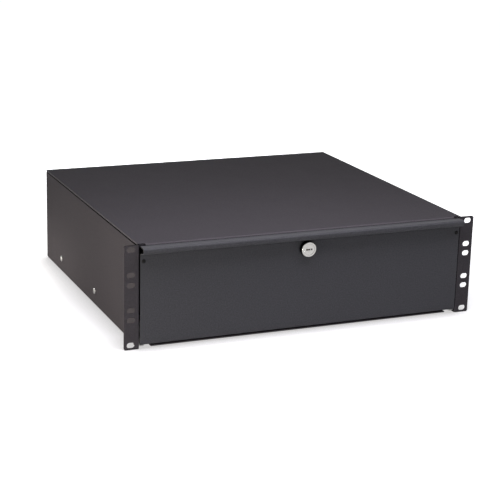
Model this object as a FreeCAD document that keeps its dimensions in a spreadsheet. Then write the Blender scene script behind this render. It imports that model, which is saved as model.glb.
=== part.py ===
import FreeCAD, Part
import math
import os
import re

import Sketcher
from FreeCAD import Placement, Rotation, Vector

# Locking storage drawer for a 19-inch rack, three rack units high, in a folded-steel case on
# ball-bearing slides. Millimetres. The origin is the centre of the rack-ear hole pattern, on the rear
# faces of the ears, which bear on the rack rails. X runs to the right seen from the front, Y from the
# front to the back, and Z up. The drawer is closed and its lock is open.

# Every size is written once here and bound to the features through the spreadsheet.
SIZES = {
    # Rack ears and their slots.
    "rack_unit": 44.45,
    "rack_play": 1.35,
    "ear_span": 482.6,
    "ear_corner": 2.5,
    "hole_span": 465.1,
    "hole_gap": 12.7,
    "slot_length": 10.3,
    "slot_width": 7.1,
    # Case: folded sheet, with inside bend radius.
    "plate": 1.5,
    "bend": 1.0,
    "case_width": 446.0,
    "case_depth": 418.5,
    "top_flange": 13.0,
    "bottom_flange": 28.0,
    "top_setback": 4.5,
    "bottom_setback": 17.0,
    "cover_setback": 0.5,
    "cover_lip": 8.0,
    "notch_width": 10.0,
    "notch_play": 0.3,
    "bottom_front": 0.5,
    "rear_lip": 12.0,
    # Drawer: folded sheet, with inside bend radius, and its gaps to the case.
    "skin": 1.2,
    "fold": 0.8,
    "face_play": 1.0,
    "face_rise": 1.5,
    "lip_reach": 12.0,
    "lip_height": 7.5,
    "lip_slope_rise": 3.0,
    "lip_drop": 2.0,
    "nose": 1.8,
    "lip_back": 1.0,
    "face_hem": 12.0,
    "tray_depth": 402.8,
    "tray_drop": 14.0,
    "tray_hem": 8.0,
    "tray_flange": 10.5,
    "flange_base": 20.0,
    "wall_lip": 12.0,
    # Ball-bearing slides.
    "slide_thick": 12.7,
    "slide_height": 35.0,
    "slide_length": 400.0,
    "slide_front": 2.5,
    "slide_rise": 0.3,
    "panel_gap": 2.3,
    "strip": 1.2,
    "corner": 1.0,
    "hook_angle": 20.0,
    "outer_ball": 3.5,
    "inner_ball": 3.0,
    "ball_play": 0.15,
    "outer_track": 5.2,
    "inner_track": 7.575,
    "mid_inset": 4.0,
    "mid_shorter": 10.0,
    "inner_shorter": 8.0,
    "cage_strip": 0.6,
    "cage_play": 0.2,
    "cage_length": 150.0,
    "cage_front": 120.0,
    "cage_margin": 10.0,
    "cage_edge": 1.0,
    "cage_corner": 0.4,
    "ball_pocket": 0.1,
    "stop_play": 0.3,
    "stop_height": 18.0,
    "stop_width": 6.8,
    "stop_chamfer": 1.5,
    # Screws of the slides.
    "screw_shank": 3.9,
    "screw_play": 0.1,
    "screw_head": 8.0,
    "screw_head_height": 1.0,
    "screw_first": 18.0,
    "screw_pitch": 160.0,
    "screw_round": 0.6,
    "recess_length": 4.4,
    "recess_width": 1.0,
    "recess_depth": 1.2,
    # Dome rivets of the drawer front.
    "rivet_shank": 3.0,
    "rivet_head": 5.0,
    "rivet_dome": 1.4,
    "rivet_round": 1.3,
    "rivet_tail": 4.4,
    "rivet_tail_height": 0.9,
    "rivet_edge": 4.0,
    "rivet_drop": 21.0,
    # Cam lock.
    "lock_drop": 23.4,
    "lock_base": 20.4,
    "lock_face": 19.6,
    "lock_head": 7.0,
    "lock_chamfer": 0.6,
    "barrel": 18.8,
    "barrel_flats": 16.0,
    "barrel_length": 16.0,
    "barrel_play": 0.1,
    "nut_flats": 24.0,
    "nut_height": 4.0,
    "plug": 12.9,
    "plug_collar": 14.4,
    "plug_collar_length": 2.0,
    "plug_play": 0.05,
    "plug_sunk": 0.3,
    "plug_square": 7.0,
    "plug_stub": 2.2,
    "keyway_length": 8.6,
    "keyway_width": 2.0,
    "keyway_depth": 9.0,
    "keyway_ward": 0.6,
    "cam_seat": 0.1,
    "cam_plate": 2.0,
    "cam_width": 14.0,
    "cam_length": 18.5,
    "cam_tip": 10.0,
    "cam_round": 1.5,
    "cam_play": 0.1,
    "cam_screw": 5.0,
    "cam_screw_length": 8.0,
    "cam_screw_head": 9.0,
    "cam_screw_height": 2.4,
    "strike_play": 0.6,
    "strike_width": 36.0,
    "strike_height": 10.5,
    "strike_foot": 11.0,
}

SCREWS_PER_SLIDE = 3
BALLS_PER_ROW = 6
RACK_UNITS = 3

# Planes and centres that several pieces share, as expressions of the sizes.
HIGH = "(%d * rack_unit - rack_play) / 2" % RACK_UNITS
SIDE = "case_width / 2"
INSIDE = "case_width / 2 - plate"
TRAY_SIDE = "(%s - slide_thick)" % INSIDE
FACE_SIDE = "(%s - face_play)" % INSIDE
FLOOR = "(-%s + 2 * plate)" % HIGH
FACE_BOTTOM = "(%s + face_rise)" % FLOOR
TRAY_BOTTOM = "(%s + skin)" % FACE_BOTTOM
TRAY_TOP = "(%s - tray_drop)" % HIGH
LIP_TOP = "(%s - lip_drop)" % HIGH
NOSE_BOTTOM = "(%s - lip_height)" % LIP_TOP
LIP_ROOT = "(%s - lip_slope_rise)" % NOSE_BOTTOM
BEHIND_FACE = "(skin - plate)"
TRAY_REAR = "(%s + tray_depth)" % BEHIND_FACE
LOCK_HEIGHT = "(%s - lock_drop)" % HIGH
LOCK_FRONT = "(-plate - lock_head)"
BARREL_END = "(barrel_length - plate)"
CAM_FRONT = "(%s + cam_seat)" % BARREL_END
STRIKE_REAR = "(%s - strike_play)" % CAM_FRONT
SLIDE_CENTRE = "(-%s + plate + slide_rise + slide_height / 2)" % HIGH
RIVET_X = "(%s - rivet_edge)" % FACE_SIDE
RIVET_Z = "(%s - rivet_drop)" % HIGH

SIDES = {"left": -1, "right": 1}

doc = FreeCAD.newDocument("RackDrawer")
sheet = doc.addObject("Spreadsheet::Sheet", "Sizes")
for line, (alias, size) in enumerate(SIZES.items(), start=1):
    sheet.set("A%d" % line, alias)
    sheet.set("B%d" % line, str(size))
    sheet.setAlias("B%d" % line, alias)
doc.recompute()

ALIAS = re.compile(r"\b(%s)\b" % "|".join(SIZES))


def bind(feature, prop, text):
    """Ties a property to an expression of the sizes."""
    feature.setExpression(prop, ALIAS.sub(r"Sizes.\1", text))


def size(alias):
    return float(sheet.get(alias))


# ---- Sketches and PartDesign features ----


def new_body(name):
    body = doc.addObject("PartDesign::Body", name)
    body.Label = name
    return body


def new_sketch(body, name, role, offset="0", rise="0"):
    """A sketch on one of the body's origin planes, moved along its normal and up its second axis."""
    sketch = body.newObject("Sketcher::SketchObject", body.Name + "_" + name)
    planes = [f for f in body.Origin.OriginFeatures if f.Role == role]
    sketch.AttachmentSupport = [(planes[0], "")]
    sketch.MapMode = "FlatFace"
    bind(sketch, "AttachmentOffset.Base.y", rise)
    bind(sketch, "AttachmentOffset.Base.z", offset)
    return sketch


def hold(sketch, kind, geometry, point, text):
    """Holds one coordinate of a sketch point at an expression, measured from the origin."""
    index = sketch.addConstraint(Sketcher.Constraint(kind, -1, 1, geometry, point, 1.0))
    bind(sketch, "Constraints[%d]" % index, text)


def draw_polygon(sketch, corners):
    """A closed outline whose corners are pairs of expressions. Returns its first geometry index."""
    count = len(corners)
    first = sketch.GeometryCount
    rough = [Vector(math.cos(a), math.sin(a), 0) for a in [math.tau * i / count for i in range(count)]]
    for i in range(count):
        sketch.addGeometry(Part.LineSegment(rough[i], rough[(i + 1) % count]), False)
    for i in range(count):
        sketch.addConstraint(Sketcher.Constraint("Coincident", first + i, 2, first + (i + 1) % count, 1))
    for i, (across, up) in enumerate(corners):
        hold(sketch, "DistanceX", first + i, 1, across)
        hold(sketch, "DistanceY", first + i, 1, up)
    return first


def rectangle(left, right, low, high):
    return [(left, low), (right, low), (right, high), (left, high)]


def draw_circle(sketch, across, up, diameter):
    index = sketch.addGeometry(Part.Circle(Vector(0, 0, 0), Vector(0, 0, 1), 1.0), False)
    hold(sketch, "DistanceX", index, 3, across)
    hold(sketch, "DistanceY", index, 3, up)
    constraint = sketch.addConstraint(Sketcher.Constraint("Diameter", index, 2.0))
    bind(sketch, "Constraints[%d]" % constraint, diameter)


def draw_slot(sketch, across, up, length, width):
    """A slot with round ends, along the sketch's first axis."""
    turn = math.pi / 2
    first = sketch.GeometryCount
    normal = Vector(0, 0, 1)
    ends = [Part.Circle(Vector(-1, 0, 0), normal, 1.0), Part.Circle(Vector(1, 0, 0), normal, 1.0)]
    sketch.addGeometry(Part.ArcOfCircle(ends[0], turn, 3 * turn), False)
    sketch.addGeometry(Part.LineSegment(Vector(-1, -1, 0), Vector(1, -1, 0)), False)
    sketch.addGeometry(Part.ArcOfCircle(ends[1], -turn, turn), False)
    sketch.addGeometry(Part.LineSegment(Vector(1, 1, 0), Vector(-1, 1, 0)), False)
    for i in range(4):
        sketch.addConstraint(Sketcher.Constraint("Tangent", first + i, 2, first + (i + 1) % 4, 1))
    sketch.addConstraint(Sketcher.Constraint("Equal", first, first + 2))
    radius = sketch.addConstraint(Sketcher.Constraint("Radius", first, 1.0))
    bind(sketch, "Constraints[%d]" % radius, "%s / 2" % width)
    reach = "(%s - %s) / 2" % (length, width)
    hold(sketch, "DistanceX", first, 3, "%s - %s" % (across, reach))
    hold(sketch, "DistanceX", first + 2, 3, "%s + %s" % (across, reach))
    hold(sketch, "DistanceY", first, 3, up)
    hold(sketch, "DistanceY", first + 2, 3, up)


def pad(body, sketch, length, reverse=False, both_ways=False):
    feature = body.newObject("PartDesign::Pad", sketch.Name + "_pad")
    feature.Profile = sketch
    feature.Reversed = reverse
    if both_ways:
        feature.SideType = "Symmetric"
    bind(feature, "Length", length)
    doc.recompute()
    return feature


def cut_through(body, sketch):
    """Cuts a sketch's outline right through the body, both ways."""
    feature = body.newObject("PartDesign::Pocket", sketch.Name + "_cut")
    feature.Profile = sketch
    feature.Type = "ThroughAll"
    feature.SideType = "Symmetric"
    before = body.Shape.Volume
    doc.recompute()
    if body.Shape.Volume > before - 0.01:
        raise ValueError("%s cuts nothing" % sketch.Name)
    return feature


def edges_along(shape, axis, test):
    """Names of the shape's straight edges along an axis whose ends pass the test."""
    names = []
    for number, edge in enumerate(shape.Edges, start=1):
        ends = [v.Point for v in edge.Vertexes]
        if len(ends) == 2 and abs(edge.Length - abs(ends[1][axis] - ends[0][axis])) < 1e-4:
            if all(test(end) for end in ends):
                names.append("Edge%d" % number)
    return names


def edges_at(shape, axis, points):
    """Names of the shape's straight edges along an axis that pass through the given points."""
    across = [i for i in range(3) if i != axis]

    def passes(end):
        return any(all(abs(end[i] - point[i]) < 1e-4 for i in across) for point in points)

    return edges_along(shape, axis, passes)


def fillet(body, edges, radius):
    """Rounds the named edges of the body's last feature."""
    last = body.Tip
    feature = body.newObject("PartDesign::Fillet", body.Name + "_fillet")
    feature.Base = (last, edges)
    bind(feature, "Radius", radius)
    doc.recompute()


def bend(body, sketch, inner, outer, radius, gauge):
    """Rounds the bends of a pad: corner numbers of its outline, inside and outside of each fold."""
    normal = sketch.Placement.Rotation.multVec(Vector(0, 0, 1))
    axis = max(range(3), key=lambda i: abs(normal[i]))
    for corners, text in ((inner, radius), (outer, "%s + %s" % (radius, gauge))):
        points = [sketch.Placement.multVec(sketch.Geometry[i].StartPoint) for i in corners]
        fillet(body, edges_at(body.Shape, axis, points), text)


# ---- Case ----


def side_panel(side, sign):
    """A side panel: its ear is bent out of the front edge and its flanges in at the top and bottom."""

    def x(text):
        return "%d * (%s)" % (sign, text)

    body = new_body("side_panel_" + side)
    above_bend = "-%s + plate + 2 * bend" % HIGH
    foot = new_sketch(body, "foot", "XZ_Plane", "-bottom_setback")
    draw_polygon(foot, [
        (x(SIDE + " - bottom_flange"), "-" + HIGH),
        (x(SIDE), "-" + HIGH),
        (x(SIDE), above_bend),
        (x(INSIDE), above_bend),
        (x(INSIDE), "-" + HIGH + " + plate"),
        (x(SIDE + " - bottom_flange"), "-" + HIGH + " + plate"),
    ])
    pad(body, foot, "case_depth - bottom_setback", reverse=True)
    bend(body, foot, (4,), (1,), "bend", "plate")

    wall = new_sketch(body, "wall", "XZ_Plane", "-top_setback")
    draw_polygon(wall, [
        (x(INSIDE), above_bend),
        (x(SIDE), above_bend),
        (x(SIDE), HIGH + " - plate"),
        (x(SIDE + " - top_flange"), HIGH + " - plate"),
        (x(SIDE + " - top_flange"), HIGH + " - 2 * plate"),
        (x(INSIDE), HIGH + " - 2 * plate"),
    ])
    pad(body, wall, "case_depth - top_setback", reverse=True)
    bend(body, wall, (5,), (2,), "bend", "plate")

    toe = new_sketch(body, "toe", "XZ_Plane", "-top_setback")
    draw_polygon(toe, rectangle(x(INSIDE), x(SIDE), "-" + HIGH, above_bend))
    pad(body, toe, "bottom_setback - top_setback", reverse=True)

    ear = new_sketch(body, "ear", "XY_Plane", "-" + HIGH)
    draw_polygon(ear, [
        (x(INSIDE), "-plate"),
        (x("ear_span / 2"), "-plate"),
        (x("ear_span / 2"), "0"),
        (x(SIDE), "0"),
        (x(SIDE), "top_setback"),
        (x(INSIDE), "top_setback"),
    ])
    pad(body, ear, "2 * " + HIGH)
    bend(body, ear, (3,), (0,), "bend", "plate")

    edge = sign * size("ear_span") / 2
    fillet(body, edges_along(body.Shape, 1, lambda point: abs(point.x - edge) < 1e-4), "ear_corner")

    slots = new_sketch(body, "slots", "XZ_Plane")
    rows = ("(rack_unit - hole_gap) / 2", "(rack_unit + hole_gap) / 2",
            "(%d * rack_unit - hole_gap) / 2" % RACK_UNITS)
    for row in rows:
        for half in (-1, 1):
            draw_slot(slots, x("hole_span / 2"), "%d * %s" % (half, row), "slot_length", "slot_width")
    cut_through(body, slots)

    holes = new_sketch(body, "holes", "YZ_Plane", x(SIDE))
    for y in screw_stations():
        draw_circle(holes, y, SLIDE_CENTRE, "screw_shank + 2 * screw_play")
    feature = cut_through(body, holes)
    feature.Type = "Length"
    bind(feature, "Length", "4 * plate")
    doc.recompute()


def screw_stations():
    """Places of the slide screws along Y."""
    return ["(slide_front + screw_first + %d * screw_pitch)" % i for i in range(SCREWS_PER_SLIDE)]


def top_cover():
    """The cover lies on the side panels. Its front edge is bent down, with a notch at each end."""
    body = new_body("top_cover")
    section = new_sketch(body, "section", "YZ_Plane")
    draw_polygon(section, [
        ("cover_setback", HIGH),
        ("case_depth", HIGH),
        ("case_depth", HIGH + " - plate"),
        ("cover_setback + plate", HIGH + " - plate"),
        ("cover_setback + plate", HIGH + " - cover_lip"),
        ("cover_setback", HIGH + " - cover_lip"),
    ])
    pad(body, section, "case_width", both_ways=True)
    bend(body, section, (3,), (0,), "bend", "plate")
    notches = new_sketch(body, "notches", "XY_Plane")
    for sign in SIDES.values():
        inner = "%d * (%s - notch_width)" % (sign, SIDE)
        outer = "%d * (%s + plate)" % (sign, SIDE)
        rear = "top_setback + notch_play"
        draw_polygon(notches, [(inner, "-plate"), (outer, "-plate"), (outer, rear), (inner, rear)])
    cut_through(body, notches)


def bottom_panel():
    """The floor lies on the side panels' bottom flanges, between the slides, and turns up at the rear."""
    body = new_body("bottom_panel")
    section = new_sketch(body, "section", "YZ_Plane")
    under = "(-%s + plate)" % HIGH
    draw_polygon(section, [
        ("-bottom_front", under),
        ("case_depth - plate", under),
        ("case_depth - plate", under + " + rear_lip"),
        ("case_depth - 2 * plate", under + " + rear_lip"),
        ("case_depth - 2 * plate", under + " + plate"),
        ("-bottom_front", under + " + plate"),
    ])
    pad(body, section, "2 * (%s - panel_gap)" % TRAY_SIDE, both_ways=True)
    bend(body, section, (4,), (1,), "bend", "plate")


def rear_panel():
    """The back of the case, with side flanges inside the side panels and a top flange under the cover."""
    body = new_body("rear_panel")
    top = new_sketch(body, "top", "YZ_Plane")
    draw_polygon(top, [
        ("case_depth", HIGH + " - rear_lip"),
        ("case_depth", HIGH + " - plate"),
        ("case_depth - rear_lip", HIGH + " - plate"),
        ("case_depth - rear_lip", HIGH + " - 2 * plate"),
        ("case_depth - plate", HIGH + " - 2 * plate"),
        ("case_depth - plate", HIGH + " - rear_lip"),
    ])
    pad(body, top, "2 * (%s - top_flange - notch_play)" % SIDE, both_ways=True)
    bend(body, top, (4,), (1,), "bend", "plate")
    plan = new_sketch(body, "plan", "XY_Plane", "-%s + plate + bend" % HIGH)
    draw_polygon(plan, [
        ("-(%s)" % INSIDE, "case_depth"),
        ("-(%s)" % INSIDE, "case_depth - rear_lip"),
        ("-(%s) + plate" % INSIDE, "case_depth - rear_lip"),
        ("-(%s) + plate" % INSIDE, "case_depth - plate"),
        ("%s - plate" % INSIDE, "case_depth - plate"),
        ("%s - plate" % INSIDE, "case_depth - rear_lip"),
        (INSIDE, "case_depth - rear_lip"),
        (INSIDE, "case_depth"),
    ])
    pad(body, plan, "2 * %s - 3 * plate - 2 * bend" % HIGH)
    bend(body, plan, (3, 4), (0, 7), "bend", "plate")


def lock_strike():
    """An angle under the cover; the lock's cam turns up behind its leg."""
    body = new_body("lock_strike")
    section = new_sketch(body, "section", "YZ_Plane")
    draw_polygon(section, [
        (STRIKE_REAR, HIGH + " - plate"),
        (STRIKE_REAR, HIGH + " - plate - strike_height"),
        (STRIKE_REAR + " - plate", HIGH + " - plate - strike_height"),
        (STRIKE_REAR + " - plate", HIGH + " - 2 * plate"),
        (STRIKE_REAR + " - strike_foot", HIGH + " - 2 * plate"),
        (STRIKE_REAR + " - strike_foot", HIGH + " - plate"),
    ])
    pad(body, section, "strike_width", both_ways=True)
    bend(body, section, (3,), (0,), "bend", "plate")


# ---- Drawer ----


def drawer_front():
    """One folded sheet: a hem under the tray, the face, and a hollow finger pull along the top."""
    body = new_body("drawer_front")
    section = new_sketch(body, "section", "YZ_Plane")
    slope = "(lip_slope_rise / lip_reach)"
    shift = "skin * sqrt(1 + %s ^ 2)" % slope
    draw_polygon(section, [
        ("-plate + face_hem", FACE_BOTTOM),
        ("-plate", FACE_BOTTOM),
        ("-plate", LIP_ROOT),
        ("-plate - lip_reach", NOSE_BOTTOM),
        ("-plate - lip_reach", LIP_TOP),
        ("-plate + lip_back", LIP_TOP),
        ("-plate + lip_back", LIP_TOP + " - skin"),
        ("-plate - lip_reach + skin", LIP_TOP + " - skin"),
        ("-plate - lip_reach + skin", "%s - skin * %s + %s" % (NOSE_BOTTOM, slope, shift)),
        ("-plate + skin", "%s - skin * %s + %s" % (LIP_ROOT, slope, shift)),
        ("-plate + skin", FACE_BOTTOM + " + skin"),
        ("-plate + face_hem", FACE_BOTTOM + " + skin"),
    ])
    pad(body, section, "2 * " + FACE_SIDE, both_ways=True)
    bend(body, section, (2, 10), (1, 9), "fold", "skin")
    bend(body, section, (7, 8), (3, 4), "nose", "skin")

    hem_ends = new_sketch(body, "hem_ends", "XY_Plane")
    for sign in SIDES.values():
        inner = "%d * (%s - panel_gap)" % (sign, TRAY_SIDE)
        outer = "%d * (%s + plate)" % (sign, SIDE)
        draw_polygon(hem_ends, [(inner, BEHIND_FACE), (outer, BEHIND_FACE), (outer, "face_hem"),
                                (inner, "face_hem")])
    cut_through(body, hem_ends)

    holes = new_sketch(body, "holes", "XZ_Plane")
    for sign in SIDES.values():
        draw_circle(holes, "%d * %s" % (sign, RIVET_X), RIVET_Z, "rivet_shank + 2 * barrel_play")
    cut_through(body, holes)
    mount = new_sketch(body, "lock_hole", "XZ_Plane")
    draw_barrel_outline(mount, "barrel + 2 * barrel_play", "barrel_flats + 2 * barrel_play")
    cut_through(body, mount)


def draw_barrel_outline(sketch, diameter, flats):
    """The lock barrel's outline: a circle with a flat each side, about the lock's axis."""
    first = sketch.GeometryCount
    circle = Part.Circle(Vector(0, 0, 0), Vector(0, 0, 1), 2.0)
    quarter = math.pi / 4
    sketch.addGeometry(Part.ArcOfCircle(circle, quarter, 3 * quarter), False)
    sketch.addGeometry(Part.LineSegment(Vector(-1.4, 1.4, 0), Vector(-1.4, -1.4, 0)), False)
    sketch.addGeometry(Part.ArcOfCircle(circle, 5 * quarter, 7 * quarter), False)
    sketch.addGeometry(Part.LineSegment(Vector(1.4, -1.4, 0), Vector(1.4, 1.4, 0)), False)
    for i in range(4):
        sketch.addConstraint(Sketcher.Constraint("Coincident", first + i, 2, first + (i + 1) % 4, 1))
    sketch.addConstraint(Sketcher.Constraint("Vertical", first + 1))
    sketch.addConstraint(Sketcher.Constraint("Vertical", first + 3))
    sketch.addConstraint(Sketcher.Constraint("Coincident", first, 3, first + 2, 3))
    sketch.addConstraint(Sketcher.Constraint("Equal", first, first + 2))
    hold(sketch, "DistanceX", first, 3, "0")
    hold(sketch, "DistanceY", first, 3, LOCK_HEIGHT)
    radius = sketch.addConstraint(Sketcher.Constraint("Radius", first, 2.0))
    bind(sketch, "Constraints[%d]" % radius, "(%s) / 2" % diameter)
    hold(sketch, "DistanceX", first + 1, 1, "-(%s) / 2" % flats)
    hold(sketch, "DistanceX", first + 3, 1, "(%s) / 2" % flats)


def drawer_tray():
    """Floor and sides of the drawer in one folded sheet, with hemmed tops and front flanges.

    Its front edge stands off the bend at the foot of the drawer front; only the flanges reach the face."""
    body = new_body("drawer_tray")
    section = new_sketch(body, "section", "XZ_Plane", "-(%s + fold)" % BEHIND_FACE)
    draw_polygon(section, [
        ("-%s" % TRAY_SIDE, TRAY_BOTTOM),
        (TRAY_SIDE, TRAY_BOTTOM),
        (TRAY_SIDE, TRAY_TOP),
        (TRAY_SIDE + " - tray_hem", TRAY_TOP),
        (TRAY_SIDE + " - tray_hem", TRAY_TOP + " - skin"),
        (TRAY_SIDE + " - skin", TRAY_TOP + " - skin"),
        (TRAY_SIDE + " - skin", TRAY_BOTTOM + " + skin"),
        ("-%s + skin" % TRAY_SIDE, TRAY_BOTTOM + " + skin"),
        ("-%s + skin" % TRAY_SIDE, TRAY_TOP + " - skin"),
        ("-%s + tray_hem" % TRAY_SIDE, TRAY_TOP + " - skin"),
        ("-%s + tray_hem" % TRAY_SIDE, TRAY_TOP),
        ("-%s" % TRAY_SIDE, TRAY_TOP),
    ])
    pad(body, section, "tray_depth - fold", reverse=True)
    bend(body, section, (5, 6, 7, 8), (0, 1, 2, 11), "fold", "skin")
    flanges = new_sketch(body, "flanges", "XY_Plane", "%s + flange_base" % FLOOR)
    for sign in SIDES.values():
        wall = "%d * (%s - skin)" % (sign, TRAY_SIDE)
        edge = "%d * (%s + tray_flange)" % (sign, TRAY_SIDE)
        draw_polygon(flanges, [(wall, BEHIND_FACE), (edge, BEHIND_FACE), (edge, BEHIND_FACE + " + skin"),
                               (wall, BEHIND_FACE + " + skin")])
    pad(body, flanges, "%s - fold - skin - (%s + flange_base)" % (TRAY_TOP, FLOOR))
    holes = new_sketch(body, "holes", "XZ_Plane")
    for sign in SIDES.values():
        draw_circle(holes, "%d * %s" % (sign, RIVET_X), RIVET_Z, "rivet_shank + 2 * barrel_play")
    cut_through(body, holes)
    screws = new_sketch(body, "screws", "YZ_Plane")
    for y in screw_stations():
        draw_circle(screws, y, SLIDE_CENTRE, "screw_shank + 2 * screw_play")
    cut_through(body, screws)


def tray_rear_wall():
    """The tray's rear wall, with flanges on the tray's floor and inside its sides."""
    body = new_body("tray_rear_wall")
    side = "(%s - skin)" % TRAY_SIDE
    base = "(%s + skin)" % TRAY_BOTTOM
    foot = new_sketch(body, "foot", "YZ_Plane")
    draw_polygon(foot, [
        (TRAY_REAR, base),
        (TRAY_REAR, base + " + wall_lip"),
        (TRAY_REAR + " - skin", base + " + wall_lip"),
        (TRAY_REAR + " - skin", base + " + skin"),
        (TRAY_REAR + " - wall_lip", base + " + skin"),
        (TRAY_REAR + " - wall_lip", base),
    ])
    pad(body, foot, "2 * (%s - 2 * skin - 2 * fold)" % side, both_ways=True)
    bend(body, foot, (3,), (0,), "fold", "skin")
    plan = new_sketch(body, "plan", "XY_Plane", base + " + skin + fold")
    draw_polygon(plan, [
        ("-" + side, TRAY_REAR),
        ("-" + side, TRAY_REAR + " - wall_lip"),
        ("-%s + skin" % side, TRAY_REAR + " - wall_lip"),
        ("-%s + skin" % side, TRAY_REAR + " - skin"),
        (side + " - skin", TRAY_REAR + " - skin"),
        (side + " - skin", TRAY_REAR + " - wall_lip"),
        (side, TRAY_REAR + " - wall_lip"),
        (side, TRAY_REAR),
    ])
    pad(body, plan, "%s - skin - fold - (%s + skin + fold)" % (TRAY_TOP, base))
    bend(body, plan, (3, 4), (0, 7), "fold", "skin")


# ---- Fasteners, stops and the cam lock ----


def revolve(body, sketch):
    """Turns a sketch about its own first axis."""
    feature = body.newObject("PartDesign::Revolution", sketch.Name + "_turned")
    feature.Profile = sketch
    feature.ReferenceAxis = (sketch, ["H_Axis"])
    feature.Angle = 360.0
    doc.recompute()
    return feature


def cut_blind(body, sketch, depth, reverse=False):
    """Cuts a sketch's outline into the body to a depth, against the sketch's normal unless reversed."""
    feature = body.newObject("PartDesign::Pocket", sketch.Name + "_cut")
    feature.Profile = sketch
    feature.Reversed = reverse
    bind(feature, "Length", depth)
    before = body.Shape.Volume
    doc.recompute()
    if body.Shape.Volume > before - 0.01:
        raise ValueError("%s cuts nothing" % sketch.Name)
    return feature


def origin_axis(body, role):
    return [f for f in body.Origin.OriginFeatures if f.Role == role][0]


def cross_outline(across, up):
    """The outline of a cross recess about a centre."""
    arm = "recess_length / 2"
    half = "recess_width / 2"
    quarter = [(arm, half), (half, half), (half, arm)]
    corners = []
    for right, high in ((1, 1), (-1, 1), (-1, -1), (1, -1)):
        for a, b in quarter if right == high else quarter[::-1]:
            corners.append(("%s + %d * %s" % (across, right, a), "%s + %d * %s" % (up, high, b)))
    return corners


def slide_screws(name, seat, away, shank):
    """Three pan-head screws along a slide. The seat is the plane under the heads, which lie on the side
    that away points to, and the shanks reach the other way."""
    body = new_body(name)
    first = screw_stations()[0]
    profile = new_sketch(body, "profile", "XY_Plane", SLIDE_CENTRE, first)
    top = "%s + %d * screw_head_height" % (seat, away)
    tip = "%s - %d * (%s)" % (seat, away, shank)
    draw_polygon(profile, [
        (tip, "0"),
        (tip, "screw_shank / 2"),
        (seat, "screw_shank / 2"),
        (seat, "screw_head / 2"),
        ("%s - %d * screw_round" % (top, away), "screw_head / 2"),
        (top, "screw_head / 2 - screw_round"),
        (top, "0"),
    ])
    turned = revolve(body, profile)
    cross = new_sketch(body, "recess", "YZ_Plane", top)
    draw_polygon(cross, cross_outline(first, SLIDE_CENTRE))
    recess = cut_blind(body, cross, "recess_depth", reverse=(away < 0))
    pattern = body.newObject("PartDesign::LinearPattern", name + "_row")
    pattern.Originals = [turned, recess]
    pattern.Direction = (origin_axis(body, "Y_Axis"), [""])
    bind(pattern, "Length", "%d * screw_pitch" % (SCREWS_PER_SLIDE - 1))
    pattern.Occurrences = SCREWS_PER_SLIDE
    body.Tip = pattern
    doc.recompute()


def slide_stop(side, sign):
    """A plastic block in the rear of the outer member, behind the intermediate one."""
    body = new_body("slide_stop_" + side)
    front = "(slide_front + slide_length - mid_shorter + mid_inset + stop_play)"
    section = new_sketch(body, "section", "XY_Plane", SLIDE_CENTRE)
    wall = "%d * (%s - strip)" % (sign, INSIDE)
    free = "%d * (%s - strip - stop_width)" % (sign, INSIDE)
    draw_polygon(section, rectangle(wall, free, front, "slide_front + slide_length"))
    pad(body, section, "stop_height", both_ways=True)
    edge = max(sign * v.X * -1 for v in body.Shape.Vertexes) * -sign
    names = edges_along(body.Shape, 2, lambda point: abs(point.x - edge) < 1e-4)
    last = body.Tip
    feature = body.newObject("PartDesign::Chamfer", body.Name + "_chamfer")
    feature.Base = (last, names)
    bind(feature, "Size", "stop_chamfer")
    doc.recompute()


def face_rivets():
    """Two dome-head rivets through the drawer front and the tray's front flanges."""
    body = new_body("face_rivets")
    profile = new_sketch(body, "profile", "XY_Plane", RIVET_Z)
    left = RIVET_X
    draw_polygon(profile, [
        (left, "-plate - rivet_dome"),
        (left + " + rivet_head / 2 - rivet_round", "-plate - rivet_dome"),
        (left + " + rivet_head / 2", "-plate - rivet_dome + rivet_round"),
        (left + " + rivet_head / 2", "-plate"),
        (left + " + rivet_shank / 2", "-plate"),
        (left + " + rivet_shank / 2", BEHIND_FACE + " + skin"),
        (left + " + rivet_tail / 2", BEHIND_FACE + " + skin"),
        (left + " + rivet_tail / 2", BEHIND_FACE + " + skin + rivet_tail_height"),
        (left, BEHIND_FACE + " + skin + rivet_tail_height"),
    ])
    turned = body.newObject("PartDesign::Revolution", "face_rivets_turned")
    turned.Profile = profile
    turned.ReferenceAxis = (profile, ["Edge9"])
    turned.Angle = 360.0
    doc.recompute()
    mirror = body.newObject("PartDesign::Mirrored", "face_rivets_pair")
    mirror.Originals = [turned]
    mirror.MirrorPlane = (origin_axis(body, "YZ_Plane"), [""])
    body.Tip = mirror
    doc.recompute()


def lock_body():
    """The lock's tapered bright head and its flatted barrel, bored for the plug."""
    body = new_body("lock_body")
    profile = new_sketch(body, "profile", "YZ_Plane", "0", LOCK_HEIGHT)
    seat = "(%s + plug_sunk + plug_collar_length + cam_seat)" % LOCK_FRONT
    draw_polygon(profile, [
        (LOCK_FRONT, "plug_collar / 2 + plug_play"),
        (LOCK_FRONT, "lock_face / 2 - lock_chamfer"),
        (LOCK_FRONT + " + lock_chamfer", "lock_face / 2"),
        ("-plate", "lock_base / 2"),
        ("-plate", "barrel / 2"),
        (BARREL_END, "barrel / 2"),
        (BARREL_END, "plug / 2 + plug_play"),
        (seat, "plug / 2 + plug_play"),
        (seat, "plug_collar / 2 + plug_play"),
    ])
    revolve(body, profile)
    flats = new_sketch(body, "flats", "XZ_Plane", "plate")
    for sign in (-1, 1):
        near = "%d * barrel_flats / 2" % sign
        far = "%d * barrel" % sign
        draw_polygon(flats, rectangle(near, far, LOCK_HEIGHT + " - barrel", LOCK_HEIGHT + " + barrel"))
    cut_blind(body, flats, "barrel_length + plate")


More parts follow.
